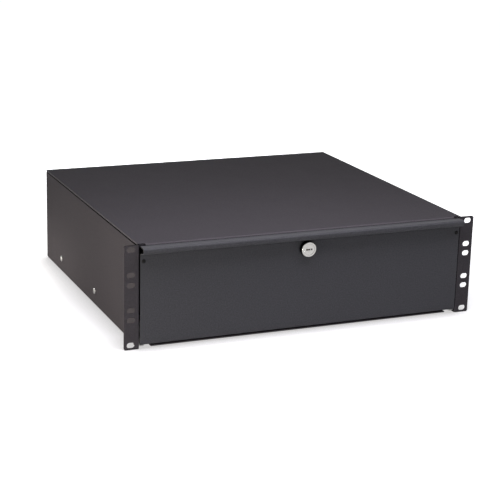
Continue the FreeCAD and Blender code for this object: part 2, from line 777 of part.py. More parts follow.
def lock_nut():
    """The hexagon nut that clamps the lock to the drawer front."""
    body = new_body("lock_nut")
    outline = new_sketch(body, "outline", "XZ_Plane", "-(%s)" % BEHIND_FACE)
    corner = "nut_flats / sqrt(3)"
    draw_polygon(outline, [
        (corner, LOCK_HEIGHT),
        (corner + " / 2", LOCK_HEIGHT + " + nut_flats / 2"),
        ("-%s / 2" % corner, LOCK_HEIGHT + " + nut_flats / 2"),
        ("-" + corner, LOCK_HEIGHT),
        ("-%s / 2" % corner, LOCK_HEIGHT + " - nut_flats / 2"),
        (corner + " / 2", LOCK_HEIGHT + " - nut_flats / 2"),
    ])
    draw_circle(outline, "0", LOCK_HEIGHT, "barrel + 2 * barrel_play")
    pad(body, outline, "nut_height", reverse=True)


def lock_plug():
    """The plug turns in the lock's bore on a front collar and carries the cam on a square stub."""
    body = new_body("lock_plug")
    profile = new_sketch(body, "profile", "YZ_Plane", "0", LOCK_HEIGHT)
    front = "(%s + plug_sunk)" % LOCK_FRONT
    bored = "(%s + plug_stub - cam_screw_length - cam_play)" % BARREL_END
    draw_polygon(profile, [
        (front, "0"),
        (front, "plug_collar / 2"),
        (front + " + plug_collar_length", "plug_collar / 2"),
        (front + " + plug_collar_length", "plug / 2"),
        (BARREL_END, "plug / 2"),
        (BARREL_END, "cam_screw / 2 + cam_play"),
        (bored, "cam_screw / 2 + cam_play"),
        (bored, "0"),
    ])
    revolve(body, profile)
    stub = new_sketch(body, "stub", "XZ_Plane", "-(%s)" % BARREL_END)
    half = "plug_square / 2"
    draw_polygon(stub, rectangle("-" + half, half, "%s - %s" % (LOCK_HEIGHT, half),
                                 "%s + %s" % (LOCK_HEIGHT, half)))
    draw_circle(stub, "0", LOCK_HEIGHT, "cam_screw + 2 * cam_play")
    pad(body, stub, "plug_stub", reverse=True)
    keyway = new_sketch(body, "keyway", "XZ_Plane", "-(%s)" % front)
    along = "keyway_length / 2"
    up = "%s + keyway_width / 2" % LOCK_HEIGHT
    down = "%s - keyway_width / 2" % LOCK_HEIGHT
    ward = "keyway_length / 8"
    draw_polygon(keyway, [
        ("-" + along, down), (ward, down), (ward, down + " + keyway_ward"),
        ("2 * " + ward, down + " + keyway_ward"), ("2 * " + ward, down), (along, down),
        (along, up), ("-" + ward, up), ("-" + ward, up + " - keyway_ward"),
        ("-2 * " + ward, up + " - keyway_ward"), ("-2 * " + ward, up), ("-" + along, up),
    ])
    cut_blind(body, keyway, "keyway_depth")


def lock_cam():
    """The cam points to the right when the lock is open, and up behind the strike when it is locked."""
    body = new_body("lock_cam")
    front = "-(%s)" % CAM_FRONT
    hub = new_sketch(body, "hub", "XZ_Plane", front)
    draw_circle(hub, "0", LOCK_HEIGHT, "cam_width")
    pad(body, hub, "cam_plate", reverse=True)
    arm = new_sketch(body, "arm", "XZ_Plane", front)
    draw_polygon(arm, [
        ("0", LOCK_HEIGHT + " - cam_width / 2"),
        ("cam_length", LOCK_HEIGHT + " - cam_tip / 2"),
        ("cam_length", LOCK_HEIGHT + " + cam_tip / 2"),
        ("0", LOCK_HEIGHT + " + cam_width / 2"),
    ])
    pad(body, arm, "cam_plate", reverse=True)
    tip = size("cam_length")
    fillet(body, edges_along(body.Shape, 1, lambda point: abs(point.x - tip) < 1e-4), "cam_round")
    hole = new_sketch(body, "hole", "XZ_Plane", front)
    half = "(plug_square / 2 + cam_play)"
    draw_polygon(hole, rectangle("-" + half, half, "%s - %s" % (LOCK_HEIGHT, half),
                                 "%s + %s" % (LOCK_HEIGHT, half)))
    cut_through(body, hole)


def cam_screw():
    """The screw that holds the cam on the plug's stub."""
    body = new_body("cam_screw")
    profile = new_sketch(body, "profile", "YZ_Plane", "0", LOCK_HEIGHT)
    seat = "(%s + plug_stub)" % BARREL_END
    draw_polygon(profile, [
        (seat + " - cam_screw_length", "0"),
        (seat + " - cam_screw_length", "cam_screw / 2"),
        (seat, "cam_screw / 2"),
        (seat, "cam_screw_head / 2"),
        (seat + " + cam_screw_height - screw_round", "cam_screw_head / 2"),
        (seat + " + cam_screw_height", "cam_screw_head / 2 - screw_round"),
        (seat + " + cam_screw_height", "0"),
    ])
    revolve(body, profile)
    slot = new_sketch(body, "slot", "XZ_Plane", "-(%s + cam_screw_height)" % seat)
    draw_polygon(slot, rectangle("-cam_screw_head", "cam_screw_head",
                                 LOCK_HEIGHT + " - recess_width / 2", LOCK_HEIGHT + " + recess_width / 2"))
    cut_blind(body, slot, "recess_depth", reverse=True)


# ---- Ball-bearing slides ----
#
# A slide's section lies across the drawer. Its own axes are u, from the case wall towards the drawer, and
# w, up from the slide's centre. A rolled strip follows a path of lines and arcs and is thickened to the
# left of the way that it runs. Each strip is symmetrical about w = 0, so only its upper half is given, from
# its web to its upper edge.

def arc_point(centre, radius, angle):
    turn = math.radians(angle)
    return Vector(centre[0] + radius * math.cos(turn), centre[1] + radius * math.sin(turn), 0)


def step_edge(step, gauge):
    """The edge of one step of a path, moved to the left by the gauge."""
    if step[0] == "line":
        start, end = Vector(*step[1]), Vector(*step[2])
        along = (end - start).normalize()
        left = Vector(-along.y, along.x, 0) * gauge
        return Part.LineSegment(start + left, end + left).toShape()
    _, centre, radius, first, last = step
    radius += gauge if last < first else -gauge
    return Part.Arc(*[arc_point(centre, radius, a) for a in (first, (first + last) / 2, last)]).toShape()


def edge_ends(edge):
    return edge.valueAt(edge.FirstParameter), edge.valueAt(edge.LastParameter)


def mirrored(path):
    """The path reflected in w = 0 and run backwards, so that it still thickens to the same side."""
    turned = []
    for step in reversed(path):
        if step[0] == "line":
            turned.append(("line", (step[2][0], -step[2][1]), (step[1][0], -step[1][1])))
        else:
            _, centre, radius, first, last = step
            turned.append(("arc", (centre[0], -centre[1]), radius, -last, -first))
    return turned


def strip_section(upper, gauge):
    """The face of a rolled strip whose path's upper half starts at the top of its flat web."""
    start = edge_ends(step_edge(upper[0], 0.0))[0]
    web = ("line", (start.x, -start.y), (start.x, start.y))
    path = mirrored(upper) + [web] + upper
    near = [step_edge(step, 0.0) for step in path]
    far = [step_edge(step, gauge) for step in path]
    first = Part.LineSegment(edge_ends(near[0])[0], edge_ends(far[0])[0]).toShape()
    last = Part.LineSegment(edge_ends(near[-1])[1], edge_ends(far[-1])[1]).toShape()
    return Part.Face(Part.Wire(Part.__sortEdges__(near + far + [first, last])))


def track(member):
    """Radius of the groove round a row of balls, and the row's place in the slide's section."""
    outer_groove = size("outer_ball") / 2 + size("ball_play")
    outer = (size("outer_track"), size("slide_height") / 2 - size("strip") - outer_groove)
    if member == "outer":
        return outer_groove, outer
    inner_groove = size("inner_ball") / 2 + size("ball_play")
    apart = outer_groove + size("strip") + inner_groove
    across = size("inner_track") - outer[0]
    return inner_groove, (size("inner_track"), outer[1] - math.sqrt(apart ** 2 - across ** 2))


def mid_web():
    """How far the intermediate member's web stands off the case wall: a cage runs in the gap."""
    return size("strip") + size("cage_strip") + 2 * size("cage_play")


def outer_member_section():
    """The flanges turn over the outer balls."""
    groove, ball = track("outer")
    radius = size("corner")
    top = ball[1] + groove
    centre = (size("strip") + radius, top - radius)
    return strip_section([
        ("arc", centre, radius, 180.0, 90.0),
        ("line", (centre[0], top), (ball[0], top)),
        ("arc", ball, groove, 90.0, size("hook_angle")),
    ], size("strip"))


def mid_member_section():
    """The flanges run under the outer balls, then turn over the inner balls."""
    groove, ball = track("outer")
    inner_groove, inner = track("inner")
    radius = size("corner")
    flat = ball[1] - groove - size("strip")
    lean = math.degrees(math.atan2(inner[1] - ball[1], inner[0] - ball[0]))
    centre = (mid_web() + size("strip") + radius, flat - radius)
    return strip_section([
        ("arc", centre, radius, 180.0, 90.0),
        ("line", (centre[0], flat), (ball[0], flat)),
        ("arc", ball, groove + size("strip"), -90.0, lean),
        ("arc", inner, inner_groove, 180.0 + lean, size("hook_angle")),
    ], size("strip"))


def inner_member_section():
    """The flanges run back from the tray and turn up round the inner balls."""
    groove, ball = track("inner")
    radius = size("corner") + size("strip")
    top = ball[1] - groove
    centre = (size("slide_thick") - radius, top - radius)
    return strip_section([
        ("arc", centre, radius, 0.0, 90.0),
        ("line", (centre[0], top), (ball[0], top)),
        ("arc", ball, groove, 270.0, 180.0 + size("hook_angle")),
    ], size("strip"))


def cage_section(member):
    """A channel with one flange through each row of balls."""
    ball = track(member)[1]
    wall = size("cage_play") + size("cage_strip")
    wall += size("strip") if member == "outer" else mid_web() + size("strip")
    under = ball[1] - size("cage_strip") / 2
    radius = size("cage_corner")
    edge = ball[0] + size(member + "_ball") / 2 + size("cage_edge")
    return strip_section([
        ("arc", (wall + radius, under - radius), radius, 180.0, 90.0),
        ("line", (wall + radius, under), (edge, under)),
    ], size("cage_strip"))


def lay_slide(name, sign, shape, front):
    """A sub-part from a shape on the slide's own axes, with the third axis run back from the front."""
    feature = doc.addObject("Part::Feature", name)
    feature.Label = name
    turn = FreeCAD.Matrix(-sign, 0, 0, 0, 0, 0, 1, 0, 0, sign, 0, 0, 0, 0, 0, 1)
    feature.Shape = shape.transformed(turn, copy=True)
    feature.Placement = Placement(Vector(0, 0, 0), Rotation())
    bind(feature, "Placement.Base.x", "%d * (%s)" % (sign, INSIDE))
    bind(feature, "Placement.Base.y", front)
    bind(feature, "Placement.Base.z", SLIDE_CENTRE)


def drill(shape, reach, bore):
    """Drills the screws' holes through a member's web, from the case side to a reach."""
    for i in range(SCREWS_PER_SLIDE):
        place = Vector(0, 0, size("screw_first") + i * size("screw_pitch"))
        hole = Part.makeCylinder(bore / 2, reach, place, Vector(1, 0, 0))
        shape = shape.cut(hole)
    return shape


def ball(radius, place):
    """A ball with 26 flats, whose corners lie on a sphere of this radius."""
    flat = 2 * radius / math.sqrt(5 + 2 * math.sqrt(2))
    across = flat * (1 + math.sqrt(2))
    corner = place - Vector(across / 2, across / 2, across / 2)
    cube = Part.makeBox(across, across, across, corner)
    return cube.makeChamfer(flat / math.sqrt(2), cube.Edges)


def ball_places(member):
    """Where the balls of a cage lie: two rows, above and below."""
    ball = track(member)[1]
    run = size("cage_length") - 2 * size("cage_margin")
    places = []
    for i in range(BALLS_PER_ROW):
        along = size("cage_margin") + i * run / (BALLS_PER_ROW - 1)
        places += [Vector(ball[0], row * ball[1], along) for row in (-1, 1)]
    return places


def slide(side, sign):
    """One ball-bearing slide: three members, and a cage with its balls between each pair."""
    hole = size("screw_shank") + 2 * size("screw_play")
    length = size("slide_length")
    outer = outer_member_section().extrude(Vector(0, 0, length))
    lay_slide("slide_outer_" + side, sign, drill(outer, size("strip") * 2, hole), "slide_front")
    mid = mid_member_section().extrude(Vector(0, 0, length - size("mid_shorter")))
    lay_slide("slide_mid_" + side, sign, mid, "slide_front + mid_inset")
    inner = inner_member_section().extrude(Vector(0, 0, length - size("inner_shorter")))
    inner = drill(inner, size("slide_thick") * 2, hole)
    lay_slide("slide_inner_" + side, sign, inner, "slide_front")
    for member in ("outer", "inner"):
        radius = size(member + "_ball") / 2
        cage = cage_section(member).extrude(Vector(0, 0, size("cage_length")))
        balls = []
        for place in ball_places(member):
            balls.append(ball(radius, place))
            pocket = radius + size("ball_pocket")
            corner = place - Vector(pocket, radius, pocket)
            cage = cage.cut(Part.makeBox(2 * pocket, 2 * radius, 2 * pocket, corner))
        lay_slide("%s_cage_%s" % (member, side), sign, cage, "cage_front")
        lay_slide("%s_balls_%s" % (member, side), sign, Part.makeCompound(balls), "cage_front")


# ---- The assembly ----

for side, sign in SIDES.items():
    side_panel(side, sign)
    slide(side, sign)
    slide_stop(side, sign)
    slide_screws("case_screws_" + side, "%d * %s" % (sign, SIDE), sign, "plate + strip")
    slide_screws("tray_screws_" + side, "%d * (%s - skin)" % (sign, TRAY_SIDE), -sign, "skin + strip")
top_cover()
bottom_panel()
rear_panel()
lock_strike()
drawer_front()
drawer_tray()
tray_rear_wall()
face_rivets()
lock_body()
lock_nut()
lock_plug()
lock_cam()
cam_screw()
doc.recompute()

for thing in doc.Objects:
    if "Invalid" in thing.State or "Error" in thing.State:
        raise ValueError("%s failed: %s" % (thing.Label, thing.State))

nodes = [thing for thing in doc.Objects if thing.TypeId in ("PartDesign::Body", "Part::Feature")]
for node in nodes:
    if node.Shape.isNull() or not node.Shape.isValid():
        raise ValueError("%s has no valid shape" % node.Label)

os.makedirs("parts", exist_ok=True)
for node in nodes:
    node.Shape.exportStep(os.path.join("parts", node.Label + ".step"))
print("%d nodes, %d solids" % (len(nodes), sum(len(node.Shape.Solids) for node in nodes)))
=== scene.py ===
"""A three-unit sliding rack drawer: its finishes, its screws, rivets and balls, the small parts of
its lock, and a plain studio to stand in."""

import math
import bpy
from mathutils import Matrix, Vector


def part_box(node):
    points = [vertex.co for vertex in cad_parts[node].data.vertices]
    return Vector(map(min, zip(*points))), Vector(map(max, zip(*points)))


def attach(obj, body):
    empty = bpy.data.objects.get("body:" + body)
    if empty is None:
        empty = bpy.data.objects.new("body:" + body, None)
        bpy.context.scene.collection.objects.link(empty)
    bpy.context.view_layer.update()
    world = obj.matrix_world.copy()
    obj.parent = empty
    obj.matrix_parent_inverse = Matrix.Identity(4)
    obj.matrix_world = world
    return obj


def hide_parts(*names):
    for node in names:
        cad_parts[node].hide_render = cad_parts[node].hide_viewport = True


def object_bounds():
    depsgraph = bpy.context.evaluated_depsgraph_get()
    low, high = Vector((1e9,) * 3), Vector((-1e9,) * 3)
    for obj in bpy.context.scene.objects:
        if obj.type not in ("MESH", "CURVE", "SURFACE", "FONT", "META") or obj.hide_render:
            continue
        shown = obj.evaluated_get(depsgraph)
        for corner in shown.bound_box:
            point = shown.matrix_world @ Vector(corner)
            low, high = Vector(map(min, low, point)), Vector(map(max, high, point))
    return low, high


bl_info = {
    "name": "Sliding Rack Drawer",
    "version": (1, 0, 0),
    "blender": (4, 5, 0),
    "location": "3D View > Sidebar > Rack Drawer",
    "description": "Gives a sliding rack drawer its coats and platings and sets up its studio",
    "category": "Object",
}

import bmesh
import bpy
from bpy.props import FloatProperty, FloatVectorProperty, IntProperty, PointerProperty
from mathutils import Matrix, Vector

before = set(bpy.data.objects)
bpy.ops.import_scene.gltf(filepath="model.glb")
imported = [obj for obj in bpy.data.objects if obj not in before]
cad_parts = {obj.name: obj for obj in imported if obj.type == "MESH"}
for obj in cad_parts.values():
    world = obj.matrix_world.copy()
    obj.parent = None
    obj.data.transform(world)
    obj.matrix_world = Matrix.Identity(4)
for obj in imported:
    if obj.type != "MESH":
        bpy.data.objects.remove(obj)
CAD_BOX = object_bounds()

SIDES = ("left", "right")
SIDE_PANELS = tuple("side_panel_%s" % side for side in SIDES)
COVER = ("top_cover",)
PANELS = ("bottom_panel", "rear_panel", "lock_strike")
DRAWER = ("drawer_front", "drawer_tray", "tray_rear_wall")
MEMBERS = tuple(
    "slide_%s_%s" % (member, side) for member in ("outer", "mid", "inner") for side in SIDES)
CAGES = tuple("%s_cage_%s" % (row, side) for row in ("outer", "inner") for side in SIDES)
BALLS = tuple("%s_balls_%s" % (row, side) for row in ("outer", "inner") for side in SIDES)
STOPS = tuple("slide_stop_%s" % side for side in SIDES)
LOCK_TURNED = ("lock_body", "lock_plug")
LOCK_PLATED = ("lock_nut", "lock_cam")

# Lengths are in metres, and a pair holds the ends of a range. A noise is used over its middle range.
NOISE_MIDDLE = (0.3, 0.7)
NONE_TO_FULL = (0.0, 1.0)
EVEN = (1.0, 1.0, 1.0)

# Powder coat. An edge shows by how far a rounded normal leans, and a fold by how far its normal is
# from every axis. Edges and upward bends are painted lighter as a highlight, the edges partly rubbed
# too, and creases and the turn under the cover get painted shade.
GRAIN_DEPTH = 0.00004
GRAIN_SHADE = (0.82, 1.18)
PEEL_GRAINS = 6.0
PEEL_DEPTH = GRAIN_DEPTH * 1.5
CLOUD_SIZE = 0.14
CLOUD_SHADE = (0.98, 1.02)
HANDLED_SIZE = 0.035
HANDLED_ROUGHNESS = (-0.012, 0.018)
WORN_ROUGHNESS = -0.10
EDGE_LEAN = (0.99, 0.80)
FOLD_LEAN = (0.995, 0.93)
FOLD_UP = (0.05, 0.25)
SEAM_UP = (0.05, 0.3)
CREVICE_REACH = 0.004
CREVICE_SHADE = 0.06
SEAM_HEIGHT = 0.005
SEAM_BLEND = 0.0005

# Plated and bare metal.
ALONG_THE_STRIP = (1.0, 0.02, 1.0)
ROLLING_LINES = 0.0006
LINES_SHADE = (0.90, 1.05)
BLOOM_SIZE = 0.012
BLOOM_SHADE = (0.88, 1.06)
BLOOM_ROUGHNESS = (-0.06, 0.08)
MEMBER_ROUGHNESS = 0.34
CAGE_ROUGHNESS = 0.42
SCREW_ROUGHNESS = 0.32
CAM_ROUGHNESS = 0.30
BRASS_ROUGHNESS = 0.35
PLATE_EDGE = 0.0002
PLATE_RELIEF = 0.00001
HAZE_SIZE = 0.0008
HAZE_SHADE = (0.94, 1.0)
HAZE_ROUGHNESS = (0.05, 0.14)
TARNISH_SIZE = 0.003
TARNISH_SHADE = (0.90, 1.04)
TARNISH_ROUGHNESS = (0.17, 0.28)
# Sky shares of the painted shade in the lock face's hollows.
NICKEL_HOLLOW_SHADE = (0.25, 0.80)
TURNED_EDGE = 0.00025
TURNED_RELIEF = 0.000012
RING_DISTORTION = 0.6
RINGS_PER_SCALE = 20.0
BRIGHT_RIM = (0.0006, 0.0009)
PLASTIC_GRAIN = 0.0005
PLASTIC_SHADE = (0.85, 1.15)
PLASTIC_ROUGHNESS = (0.48, 0.60)
PLASTIC_RELIEF = 0.00003
PLASTIC_EDGE = 0.0004

# Made shapes.
WELD = 0.000001
TURNED_SIDES = 40
CURVE_PARTS = 6
SMOOTH_ANGLE = math.radians(32)

# Screws. Shares of the shank's radius, then of the head's radius or height, and the deepest recess.
TIP_CHAMFER = 0.15
FOOT_RADIUS = 0.97
FOOT_HEIGHT = 0.1
CROWN_FLAT = 0.65
CROWN_START = 0.3
CROSS_REACH = 0.53
CROSS_WIDTH = 0.25
CROSS_TAPER = 0.6
CROSS_DEPTH = 0.8
RECESS_LIMIT = 0.001

# Rivets. Shares of the dome's height and of the head's radius. The dimple is told by shares of its
# mouth's radius and of the dome's height, and the dome stops short of its top for it.
FLANGE_HEIGHT = 0.18
DIMPLE_RADIUS = 0.22
DIMPLE = ((1.0, 0.97), (0.9, 0.80), (0.4, 0.86))
DOME_PARTS = 8
DOME_TURN = 0.42 * math.pi

# What shows in the keyway, in shares of half its width, and of a plate's least side.
WAFER_WIDTH = 1.92
WAFER_LENGTH = 3.4
WAFER_STAGGER = 0.3
PLATE_BEVEL = 0.2

# Studio. The floor lies this far below the drawer, and is lifted to white between two distances
# from its middle.
WHITE = (1.0, 1.0, 1.0, 1.0)
FLOOR_DROP = 0.0001
FLOOR_LIFT = (0.30, 0.65)
FLOOR_GLOW = (0.6, 1.0)
# Reach and sky shares of the floor's painted shadow at the foot of the case.
CONTACT_REACH = 0.05
CONTACT_SKY = (0.45, 0.92)
# Each lamp's name, place, target, width and height, colour, and spread in degrees.
LAMPS = (
    ("key", (-0.06, -0.13, 0.46), (-0.03, 0.0, 0.0), (0.8, 0.2), (0.93, 0.905, 1.0), 180.0),
    ("fill", (-1.2, -1.6, 0.75), (-0.1, 0.0, 0.0), (0.8, 0.6), (0.97, 0.98, 1.0), 180.0),
    ("side", (-0.70, -0.10, -0.01), (-0.24, 0.05, -0.05), (0.4, 0.1), (1.0, 0.93, 0.82), 180.0),
    ("low side", (-0.31, 0.36, -0.052), (-0.22, 0.34, -0.052), (0.2, 0.015), (1.0, 0.95, 0.86),
     150.0),
    ("right", (1.0, 0.16, 0.0), (0.23, 0.20, 0.0), (0.5, 0.1), (0.95, 0.96, 1.0), 180.0),
    ("back", (0.0, 1.3, 0.0), (0.0, 0.42, 0.0), (0.8, 0.1), (0.95, 0.96, 1.0), 180.0),
)
CAMERA_PLACE = (-0.7513, -1.5668, 0.5352)
CAMERA_YAW = 0.406168
CAMERA_PITCH = 0.279001
CAMERA_ROLL = 0.0265201
SENSOR_WIDTH = 36.0


def colour(name, default, description):
    """A colour property with the usual limits."""
    return FloatVectorProperty(
        name=name, description=description, default=default, size=3, min=0.0, max=1.0,
        subtype="COLOR")


def share(name, default, description):
    """A property from 0 to 1."""
    return FloatProperty(
        name=name, description=description, default=default, min=0.0, max=1.0, subtype="FACTOR")


def length(name, default, description):
    """A length property in metres."""
    return FloatProperty(
        name=name, description=description, default=default, min=0.0, precision=5, unit="LENGTH",
        subtype="DISTANCE")


def power(name, default, description):
    """The power of a lamp."""
    return FloatProperty(
        name=name, description=description, default=default, min=0.0, unit="POWER")


class CoatSettings(bpy.types.PropertyGroup):
    """Powder coats on the folded sheet."""
    case_colour: colour(
        "Case Coat", (0.050, 0.046, 0.050), "Colour of the textured coat on the case")
    drawer_colour: colour(
        "Drawer Coat", (0.047, 0.047, 0.0515), "Colour of the smoother coat on the drawer")
    rivet_colour: colour("Rivets", (0.012, 0.012, 0.012), "Colour of the painted rivets")
    case_grain: length("Case Grain", 0.0009, "Size of the texture's grains on the case")
    drawer_grain: length("Drawer Grain", 0.0016, "Size of the orange peel on the drawer")
    case_roughness: share("Case Roughness", 0.68, "Roughness of the coat on the case")
    drawer_roughness: share("Drawer Roughness", 0.48, "Roughness of the coat on the drawer")
    rivet_roughness: share("Rivet Roughness", 0.25, "Roughness of the coat on the rivets")
    case_gloss: share("Case Gloss", 0.035, "Strength of reflections in the coat on the case")
    drawer_gloss: share("Drawer Gloss", 0.12, "Strength of reflections in the coat on the drawer")
    rivet_gloss: share("Rivet Gloss", 0.07, "Strength of reflections in the coat on the rivets")
    edge_radius: length("Edge Radius", 0.00035, "How far the coat rounds the sheet's cut edges")
    # This radius also sets how wide the cover's lighter edges are, partly rubbed and partly a
    # painted highlight.
    cover_edge_radius: length(
        "Cover Edge Radius", 0.0009, "How far handling has rounded the cover's edges")


class MetalSettings(bpy.types.PropertyGroup):
    """Platings, bare steel and plastic."""
    zinc_colour: colour("Zinc", (0.47, 0.47, 0.455), "Colour of the zinc plate on the slides")
    screw_colour: colour(
        "Screw Zinc", (0.30, 0.295, 0.28), "Colour of the zinc plate on the screws")
    ball_colour: colour("Balls", (0.60, 0.60, 0.61), "Colour of the bearing balls")
    nickel_colour: colour("Nickel", (0.44, 0.435, 0.41), "Colour of the lock's bright face")
    # The lock's side colour is a painted dark reflection.
    painted_dark_reflection_colour: colour("Painted Dark Reflection", (0.020, 0.020, 0.020), "Colour of the lock's side")
    brass_colour: colour("Brass", (0.72, 0.55, 0.28), "Colour of the wafers in the lock")
    plastic_colour: colour("Plastic", (0.025, 0.025, 0.026), "Colour of the moulded end stops")
    turning_pitch: length(
        "Turning Pitch", 0.00035, "Distance between the turning lines on the lock's face")


class FastenerSettings(bpy.types.PropertyGroup):
    """Screws and rivets."""
    slide_screw_height: length(
        "Slide Screw Height", 0.001, "Height of the heads that hold the slides")
    slide_screw_shank: length("Slide Screw Shank", 0.0039, "Diameter of those screws")
    cam_screw_height: length("Cam Screw Height", 0.0024, "Height of the head that holds the cam")
    cam_screw_shank: length("Cam Screw Shank", 0.005, "Diameter of that screw")
    rivet_dome: length("Rivet Dome", 0.0014, "Height of the rivets' domes")
    rivet_shank: length("Rivet Shank", 0.003, "Diameter of the rivets' bodies")
    rivet_tail: length("Rivet Tail", 0.0044, "Diameter of the rivets' set ends")
    rivet_tail_height: length("Rivet Tail Height", 0.0009, "Height of the rivets' set ends")
    ball_detail: IntProperty(
        name="Ball Detail", description="Subdivisions of a ball", default=3, min=1, max=4)


class LockSettings(bpy.types.PropertyGroup):
    """The wafers and the dust shutter that show in the keyway."""
    wafer_count: IntProperty(
        name="Wafers", description="Wafers in the plug", default=4, min=1, max=8)
    wafer_thickness: length("Wafer Thickness", 0.0005, "Thickness of one wafer")
    wafer_pitch: length("Wafer Pitch", 0.0011, "Distance from one wafer to the next")
    wafer_depth: length("Wafer Depth", 0.0046, "Depth of the first wafer behind the plug's face")
    keyway_width: length("Keyway Width", 0.002, "Width of the keyway")
    shutter_place: length(
        "Shutter Place", 0.0016, "How far the shutter's middle is from the lock's axis")
    shutter_length: length("Shutter Length", 0.0013, "Length of the shutter along the keyway")


class StageSettings(bpy.types.PropertyGroup):
    """Floor, lamps and camera."""
    floor_colour: colour("Floor", (0.80, 0.80, 0.80), "Colour of the floor")
    # The colour of the floor's painted shadow at the foot of the case.
    painted_shadow_colour: colour(
        "Shadow", (0.60, 0.59, 0.59), "Colour of the floor at the foot of the case")
    floor_size: length("Floor Size", 12.0, "Width of the floor")
    key_power: power("Key", 3.65, "Power of the lamp above")
    fill_power: power("Fill", 8.6, "Power of the lamp in front")
    side_power: power("Side", 3.0, "Power of the low warm lamp at the left")
    low_side_power: power("Low Side", 0.08, "Power of the lamp low beside the case's rear")
    right_power: power("Right", 9.0, "Power of the low lamp at the right")
    back_power: power("Back", 11.0, "Power of the low lamp behind")
    sky_level: share("Sky", 0.035, "How much light comes from all round")
    lens: FloatProperty(
        name="Lens", description="Focal length of the camera", default=103.2, min=1.0,
        unit="CAMERA")


def feed(tree, socket, value):
    """Links a node's output to an input, or sets the input to a value."""
    if isinstance(value, bpy.types.NodeSocket):
        tree.links.new(value, socket)
    else:
        socket.default_value = value


def add_node(tree, kind, settings=None, **inputs):
    """Adds a shader node. Its inputs are values or nodes' outputs, named with _ for a space."""
    node = tree.nodes.new("ShaderNode" + kind)
    for name, value in (settings or {}).items():
        setattr(node, name, value)
    for name, value in inputs.items():
        feed(tree, node.inputs[name.replace("_", " ")], value)
    return node


def remap(tree, value, source, target, steps="LINEAR"):
    """Takes one range of a value to another, and holds it at the ends."""
    return add_node(
        tree, "MapRange", {"clamp": True, "interpolation_type": steps}, Value=value,
        From_Min=source[0], From_Max=source[1], To_Min=target[0], To_Max=target[1]).outputs[0]


def maths(tree, operation, *values):
    """What a maths node makes of values or sockets."""
    node = add_node(tree, "Math", {"operation": operation})
    for socket, value in zip(node.inputs, values):
        feed(tree, socket, value)
    return node.outputs[0]


def mixed_colour(tree, settings, factor, first, second):
    """Two colours mixed by a factor."""
    node = add_node(tree, "Mix", {"data_type": "RGBA", **settings})
    colours = [socket for socket in node.inputs if socket.type == "RGBA"]
    for socket, value in zip((node.inputs[0], *colours), (factor, first, second)):
        feed(tree, socket, value)
    return next(socket for socket in node.outputs if socket.type == "RGBA")


def part_of(tree, vector, axis):
    """One part of a vector."""
    return add_node(tree, "SeparateXYZ", Vector=vector).outputs[axis]


def new_finish(name, metallic, **values):
    """A material with one Principled shader, and the place of each point on its own piece."""
    material = bpy.data.materials.new(name)
    material.use_nodes = True
    tree = material.node_tree
    shader = tree.nodes["Principled BSDF"]
    shader.inputs["Metallic"].default_value = metallic
    for socket, value in values.items():
        shader.inputs[socket.replace("_", " ")].default_value = value
    place = add_node(tree, "TexCoord").outputs["Object"]
    return material, tree, shader, place


def noise(tree, place, size, detail=2.0, stretch=EVEN):
    """Noise whose features are about this size, and longer along an axis whose stretch is small."""
    laid = add_node(tree, "Mapping", Vector=place, Scale=stretch)
    return add_node(
        tree, "TexNoise", Vector=laid.outputs[0], Scale=1.0 / size, Detail=detail).outputs[0]


def spread(tree, value, ends):
    """Takes the middle of a noise's range to these ends."""
    return remap(tree, value, NOISE_MIDDLE, ends)


def about(middle, ends):
    """A range about a value."""
    return middle + ends[0], middle + ends[1]


def tint(tree, base, *factors):
    """A colour made lighter and darker by factors."""
    hue = base
    for factor in factors:
        hue = mixed_colour(tree, {"blend_type": "MULTIPLY"}, 1.0, hue, factor)
    return hue


def rounded_edges(tree, radius):
    """Normals that turn smoothly over a sharp edge."""
    return add_node(tree, "Bevel", {"samples": 6}, Radius=radius).outputs[0]


def edge_mask(tree, normal):
    """1 on an edge and 0 away from it, from how far a rounded normal leans."""
    flat = add_node(tree, "NewGeometry").outputs["True Normal"]
    lean = add_node(tree, "VectorMath", {"operation": "DOT_PRODUCT"})
    tree.links.new(normal, lean.inputs[0])
    tree.links.new(flat, lean.inputs[1])
    return remap(tree, lean.outputs["Value"], EDGE_LEAN, NONE_TO_FULL)


def painted_crevice_shade(tree, shade):
    """Painted shade: darker where two sheets meet or a gap closes in, from how much sky is near, and
    1 in the open. The two shares are how much of the sky is left where the painted shade is full,
    and where it ends."""
    sky = add_node(tree, "AmbientOcclusion", {"samples": 8}, Distance=CREVICE_REACH).outputs["AO"]
    return remap(tree, sky, shade, (CREVICE_SHADE, 1.0))


def raised(tree, height, depth, normal):
    """Bumps of this depth laid over a normal."""
    return add_node(tree, "Bump", Height=height, Distance=depth, Normal=normal).outputs[0]


def connect(tree, shader, hue, roughness, normal):
    """Gives a shader its colour, its roughness and its normals."""
    for name, value in (("Base Color", hue), ("Roughness", roughness), ("Normal", normal)):
        tree.links.new(value, shader.inputs[name])


def opaque(rgb):
    """A colour with full alpha."""
    return (*rgb, 1.0)


def painted_fold_highlight(tree, lighter):
    """Painted highlight: how much lighter the coat is where a fold faces between the axes and
    upwards, towards the lamp above.
    """
    normal = add_node(tree, "NewGeometry").outputs["Normal"]
    size = add_node(tree, "VectorMath", {"operation": "ABSOLUTE"})
    tree.links.new(normal, size.inputs[0])
    x, y, z = add_node(tree, "SeparateXYZ", Vector=size.outputs[0]).outputs
    widest = maths(tree, "MAXIMUM", x, maths(tree, "MAXIMUM", y, z))
    upward = remap(tree, part_of(tree, normal, "Z"), FOLD_UP, (1.0, lighter))
    return remap(tree, widest, FOLD_LEAN, (1.0, upward))


